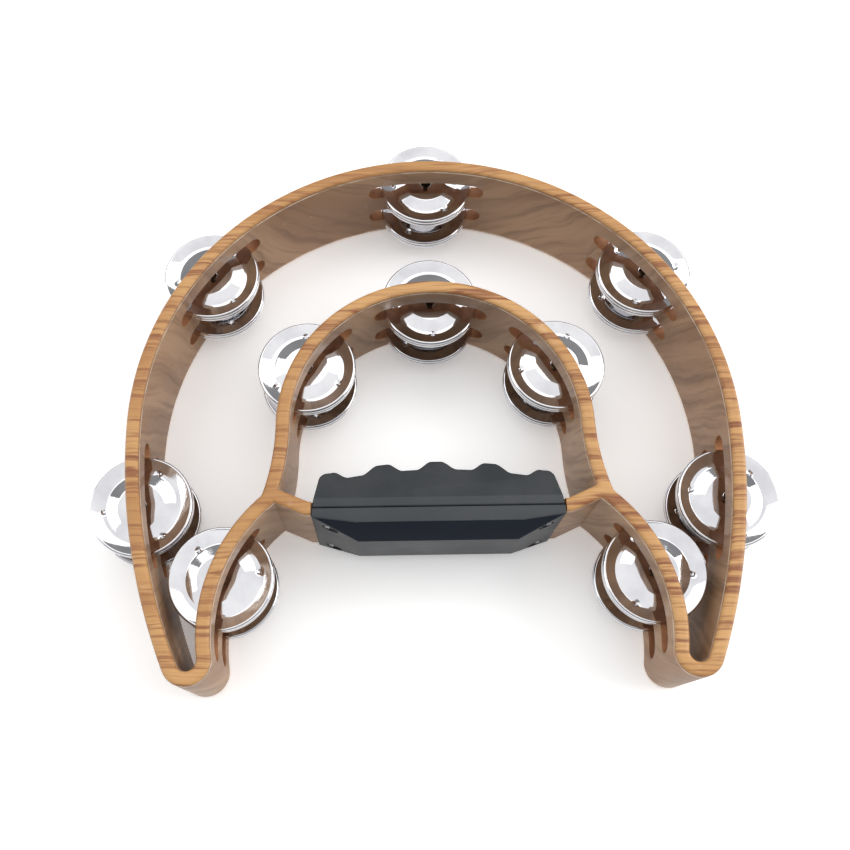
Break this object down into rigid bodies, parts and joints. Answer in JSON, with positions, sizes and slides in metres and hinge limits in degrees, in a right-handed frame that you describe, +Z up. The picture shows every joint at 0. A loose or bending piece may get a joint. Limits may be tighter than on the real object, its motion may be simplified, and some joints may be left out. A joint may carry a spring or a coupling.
{
  "type": "tambourine",
  "caption": "Half-moon headless tambourine: wood-print moulded frame with loose paired steel jingles on pins and a finger-moulded hand grip.",
  "frame": {"origin": "centre of the plan's bounding box, at the level of the lower rims that it lies on", "axes": "+X to the player's right across both tips, +Y from the palm side of the grip to the top of the outer arch, +Z up through the frame's depth"},
  "size_m": [0.2946, 0.2585, 0.0487],
  "materials": {
    "frame": "satin moulding with a printed wood grain",
    "jingle": "bright plated pressed steel",
    "pin": "drawn wire nail",
    "grip": "fine satin black moulding",
    "screw": "dark plated pan-head screw"
  },
  "bodies": {
    "frame": {"frame": "frame", "pin_outer_top": "pin", "pin_inner_top": "pin", "pin_outer_high_right": "pin", "pin_outer_side_right": "pin", "pin_inner_side_right": "pin", "pin_low_right": "pin", "pin_outer_high_left": "pin", "pin_outer_side_left": "pin", "pin_inner_side_left": "pin", "pin_low_left": "pin", "grip_finger_shell": "grip", "grip_palm_shell": "grip", "grip_screw_left_lower": "screw", "grip_screw_left_upper": "screw", "grip_screw_right_lower": "screw", "grip_screw_right_upper": "screw"},
    "jingle_outer_top_lower_under": {"jingle_outer_top_lower_under": "jingle"},
    "jingle_outer_top_lower_over": {"jingle_outer_top_lower_over": "jingle"},
    "jingle_outer_top_upper_under": {"jingle_outer_top_upper_under": "jingle"},
    "jingle_outer_top_upper_over": {"jingle_outer_top_upper_over": "jingle"},
    "jingle_inner_top_lower_under": {"jingle_inner_top_lower_under": "jingle"},
    "jingle_inner_top_lower_over": {"jingle_inner_top_lower_over": "jingle"},
    "jingle_inner_top_upper_under": {"jingle_inner_top_upper_under": "jingle"},
    "jingle_inner_top_upper_over": {"jingle_inner_top_upper_over": "jingle"},
    "jingle_outer_high_right_lower_under": {"jingle_outer_high_right_lower_under": "jingle"},
    "jingle_outer_high_right_lower_over": {"jingle_outer_high_right_lower_over": "jingle"},
    "jingle_outer_high_right_upper_under": {"jingle_outer_high_right_upper_under": "jingle"},
    "jingle_outer_high_right_upper_over": {"jingle_outer_high_right_upper_over": "jingle"},
    "jingle_outer_side_right_lower_under": {"jingle_outer_side_right_lower_under": "jingle"},
    "jingle_outer_side_right_lower_over": {"jingle_outer_side_right_lower_over": "jingle"},
    "jingle_outer_side_right_upper_under": {"jingle_outer_side_right_upper_under": "jingle"},
    "jingle_outer_side_right_upper_over": {"jingle_outer_side_right_upper_over": "jingle"},
    "jingle_inner_side_right_lower_under": {"jingle_inner_side_right_lower_under": "jingle"},
    "jingle_inner_side_right_lower_over": {"jingle_inner_side_right_lower_over": "jingle"},
    "jingle_inner_side_right_upper_under": {"jingle_inner_side_right_upper_under": "jingle"},
    "jingle_inner_side_right_upper_over": {"jingle_inner_side_right_upper_over": "jingle"},
    "jingle_low_right_lower_under": {"jingle_low_right_lower_under": "jingle"},
    "jingle_low_right_lower_over": {"jingle_low_right_lower_over": "jingle"},
    "jingle_low_right_upper_under": {"jingle_low_right_upper_under": "jingle"},
    "jingle_low_right_upper_over": {"jingle_low_right_upper_over": "jingle"},
    "jingle_outer_high_left_lower_under": {"jingle_outer_high_left_lower_under": "jingle"},
    "jingle_outer_high_left_lower_over": {"jingle_outer_high_left_lower_over": "jingle"},
    "jingle_outer_high_left_upper_under": {"jingle_outer_high_left_upper_under": "jingle"},
    "jingle_outer_high_left_upper_over": {"jingle_outer_high_left_upper_over": "jingle"},
    "jingle_outer_side_left_lower_under": {"jingle_outer_side_left_lower_under": "jingle"},
    "jingle_outer_side_left_lower_over": {"jingle_outer_side_left_lower_over": "jingle"},
    "jingle_outer_side_left_upper_under": {"jingle_outer_side_left_upper_under": "jingle"},
    "jingle_outer_side_left_upper_over": {"jingle_outer_side_left_upper_over": "jingle"},
    "jingle_inner_side_left_lower_under": {"jingle_inner_side_left_lower_under": "jingle"},
    "jingle_inner_side_left_lower_over": {"jingle_inner_side_left_lower_over": "jingle"},
    "jingle_inner_side_left_upper_under": {"jingle_inner_side_left_upper_under": "jingle"},
    "jingle_inner_side_left_upper_over": {"jingle_inner_side_left_upper_over": "jingle"},
    "jingle_low_left_lower_under": {"jingle_low_left_lower_under": "jingle"},
    "jingle_low_left_lower_over": {"jingle_low_left_lower_over": "jingle"},
    "jingle_low_left_upper_under": {"jingle_low_left_upper_under": "jingle"},
    "jingle_low_left_upper_over": {"jingle_low_left_upper_over": "jingle"}
  },
  "joints": [
    {"name": "spin_outer_top_lower", "type": "hinge", "parent": "frame", "child": "jingle_outer_top_lower_under", "pos_m": [0, 0.10737, 0.0127], "axis": [0, 0, 1], "continuous": true},
    {"name": "clash_outer_top_lower", "type": "slide", "parent": "jingle_outer_top_lower_under", "child": "jingle_outer_top_lower_over", "axis": [0, 0, 1], "range_m": [0, 0.0035]},
    {"name": "spin_outer_top_upper", "type": "hinge", "parent": "frame", "child": "jingle_outer_top_upper_under", "pos_m": [0, 0.10737, 0.0318], "axis": [0, 0, 1], "continuous": true},
    {"name": "clash_outer_top_upper", "type": "slide", "parent": "jingle_outer_top_upper_under", "child": "jingle_outer_top_upper_over", "axis": [0, 0, 1], "range_m": [0, 0.0035]},
    {"name": "spin_inner_top_lower", "type": "hinge", "parent": "frame", "child": "jingle_inner_top_lower_under", "pos_m": [0, 0.04287, 0.0127], "axis": [0, 0, 1], "continuous": true},
    {"name": "clash_inner_top_lower", "type": "slide", "parent": "jingle_inner_top_lower_under", "child": "jingle_inner_top_lower_over", "axis": [0, 0, 1], "range_m": [0, 0.0035]},
    {"name": "spin_inner_top_upper", "type": "hinge", "parent": "frame", "child": "jingle_inner_top_upper_under", "pos_m": [0, 0.04287, 0.0318], "axis": [0, 0, 1], "continuous": true},
    {"name": "clash_inner_top_upper", "type": "slide", "parent": "jingle_inner_top_upper_under", "child": "jingle_inner_top_upper_over", "axis": [0, 0, 1], "range_m": [0, 0.0035]},
    {"name": "spin_outer_high_right_lower", "type": "hinge", "parent": "frame", "child": "jingle_outer_high_right_lower_under", "pos_m": [0.1011, 0.05762, 0.0127], "axis": [0, 0, 1], "continuous": true},
    {"name": "clash_outer_high_right_lower", "type": "slide", "parent": "jingle_outer_high_right_lower_under", "child": "jingle_outer_high_right_lower_over", "axis": [0, 0, 1], "range_m": [0, 0.0035]},
    {"name": "spin_outer_high_right_upper", "type": "hinge", "parent": "frame", "child": "jingle_outer_high_right_upper_under", "pos_m": [0.1011, 0.05762, 0.0318], "axis": [0, 0, 1], "continuous": true},
    {"name": "clash_outer_high_right_upper", "type": "slide", "parent": "jingle_outer_high_right_upper_under", "child": "jingle_outer_high_right_upper_over", "axis": [0, 0, 1], "range_m": [0, 0.0035]},
    {"name": "spin_outer_side_right_lower", "type": "hinge", "parent": "frame", "child": "jingle_outer_side_right_lower_under", "pos_m": [0.12543, -0.05331, 0.0127], "axis": [0, 0, 1], "continuous": true},
    {"name": "clash_outer_side_right_lower", "type": "slide", "parent": "jingle_outer_side_right_lower_under", "child": "jingle_outer_side_right_lower_over", "axis": [0, 0, 1], "range_m": [0, 0.0035]},
    {"name": "spin_outer_side_right_upper", "type": "hinge", "parent": "frame", "child": "jingle_outer_side_right_upper_under", "pos_m": [0.12543, -0.05331, 0.0318], "axis": [0, 0, 1], "continuous": true},
    {"name": "clash_outer_side_right_upper", "type": "slide", "parent": "jingle_outer_side_right_upper_under", "child": "jingle_outer_side_right_upper_over", "axis": [0, 0, 1], "range_m": [0, 0.0035]},
    {"name": "spin_inner_side_right_lower", "type": "hinge", "parent": "frame", "child": "jingle_inner_side_right_lower_under", "pos_m": [0.0562, 0.01042, 0.0127], "axis": [0, 0, 1], "continuous": true},
    {"name": "clash_inner_side_right_lower", "type": "slide", "parent": "jingle_inner_side_right_lower_under", "child": "jingle_inner_side_right_lower_over", "axis": [0, 0, 1], "range_m": [0, 0.0035]},
    {"name": "spin_inner_side_right_upper", "type": "hinge", "parent": "frame", "child": "jingle_inner_side_right_upper_under", "pos_m": [0.0562, 0.01042, 0.0318], "axis": [0, 0, 1], "continuous": true},
    {"name": "clash_inner_side_right_upper", "type": "slide", "parent": "jingle_inner_side_right_upper_under", "child": "jingle_inner_side_right_upper_over", "axis": [0, 0, 1], "range_m": [0, 0.0035]},
    {"name": "spin_low_right_lower", "type": "hinge", "parent": "frame", "child": "jingle_low_right_lower_under", "pos_m": [0.09025, -0.08464, 0.0127], "axis": [0, 0, 1], "continuous": true},
    {"name": "clash_low_right_lower", "type": "slide", "parent": "jingle_low_right_lower_under", "child": "jingle_low_right_lower_over", "axis": [0, 0, 1], "range_m": [0, 0.0035]},
    {"name": "spin_low_right_upper", "type": "hinge", "parent": "frame", "child": "jingle_low_right_upper_under", "pos_m": [0.09025, -0.08464, 0.0318], "axis": [0, 0, 1], "continuous": true},
    {"name": "clash_low_right_upper", "type": "slide", "parent": "jingle_low_right_upper_under", "child": "jingle_low_right_upper_over", "axis": [0, 0, 1], "range_m": [0, 0.0035]},
    {"name": "spin_outer_high_left_lower", "type": "hinge", "parent": "frame", "child": "jingle_outer_high_left_lower_under", "pos_m": [-0.1011, 0.05762, 0.0127], "axis": [0, 0, 1], "continuous": true},
    {"name": "clash_outer_high_left_lower", "type": "slide", "parent": "jingle_outer_high_left_lower_under", "child": "jingle_outer_high_left_lower_over", "axis": [0, 0, 1], "range_m": [0, 0.0035]},
    {"name": "spin_outer_high_left_upper", "type": "hinge", "parent": "frame", "child": "jingle_outer_high_left_upper_under", "pos_m": [-0.1011, 0.05762, 0.0318], "axis": [0, 0, 1], "continuous": true},
    {"name": "clash_outer_high_left_upper", "type": "slide", "parent": "jingle_outer_high_left_upper_under", "child": "jingle_outer_high_left_upper_over", "axis": [0, 0, 1], "range_m": [0, 0.0035]},
    {"name": "spin_outer_side_left_lower", "type": "hinge", "parent": "frame", "child": "jingle_outer_side_left_lower_under", "pos_m": [-0.12543, -0.05331, 0.0127], "axis": [0, 0, 1], "continuous": true},
    {"name": "clash_outer_side_left_lower", "type": "slide", "parent": "jingle_outer_side_left_lower_under", "child": "jingle_outer_side_left_lower_over", "axis": [0, 0, 1], "range_m": [0, 0.0035]},
    {"name": "spin_outer_side_left_upper", "type": "hinge", "parent": "frame", "child": "jingle_outer_side_left_upper_under", "pos_m": [-0.12543, -0.05331, 0.0318], "axis": [0, 0, 1], "continuous": true},
    {"name": "clash_outer_side_left_upper", "type": "slide", "parent": "jingle_outer_side_left_upper_under", "child": "jingle_outer_side_left_upper_over", "axis": [0, 0, 1], "range_m": [0, 0.0035]},
    {"name": "spin_inner_side_left_lower", "type": "hinge", "parent": "frame", "child": "jingle_inner_side_left_lower_under", "pos_m": [-0.0562, 0.01042, 0.0127], "axis": [0, 0, 1], "continuous": true},
    {"name": "clash_inner_side_left_lower", "type": "slide", "parent": "jingle_inner_side_left_lower_under", "child": "jingle_inner_side_left_lower_over", "axis": [0, 0, 1], "range_m": [0, 0.0035]},
    {"name": "spin_inner_side_left_upper", "type": "hinge", "parent": "frame", "child": "jingle_inner_side_left_upper_under", "pos_m": [-0.0562, 0.01042, 0.0318], "axis": [0, 0, 1], "continuous": true},
    {"name": "clash_inner_side_left_upper", "type": "slide", "parent": "jingle_inner_side_left_upper_under", "child": "jingle_inner_side_left_upper_over", "axis": [0, 0, 1], "range_m": [0, 0.0035]},
    {"name": "spin_low_left_lower", "type": "hinge", "parent": "frame", "child": "jingle_low_left_lower_under", "pos_m": [-0.09025, -0.08464, 0.0127], "axis": [0, 0, 1], "continuous": true},
    {"name": "clash_low_left_lower", "type": "slide", "parent": "jingle_low_left_lower_under", "child": "jingle_low_left_lower_over", "axis": [0, 0, 1], "range_m": [0, 0.0035]},
    {"name": "spin_low_left_upper", "type": "hinge", "parent": "frame", "child": "jingle_low_left_upper_under", "pos_m": [-0.09025, -0.08464, 0.0318], "axis": [0, 0, 1], "continuous": true},
    {"name": "clash_low_left_upper", "type": "slide", "parent": "jingle_low_left_upper_under", "child": "jingle_low_left_upper_over", "axis": [0, 0, 1], "range_m": [0, 0.0035]}
  ]
}
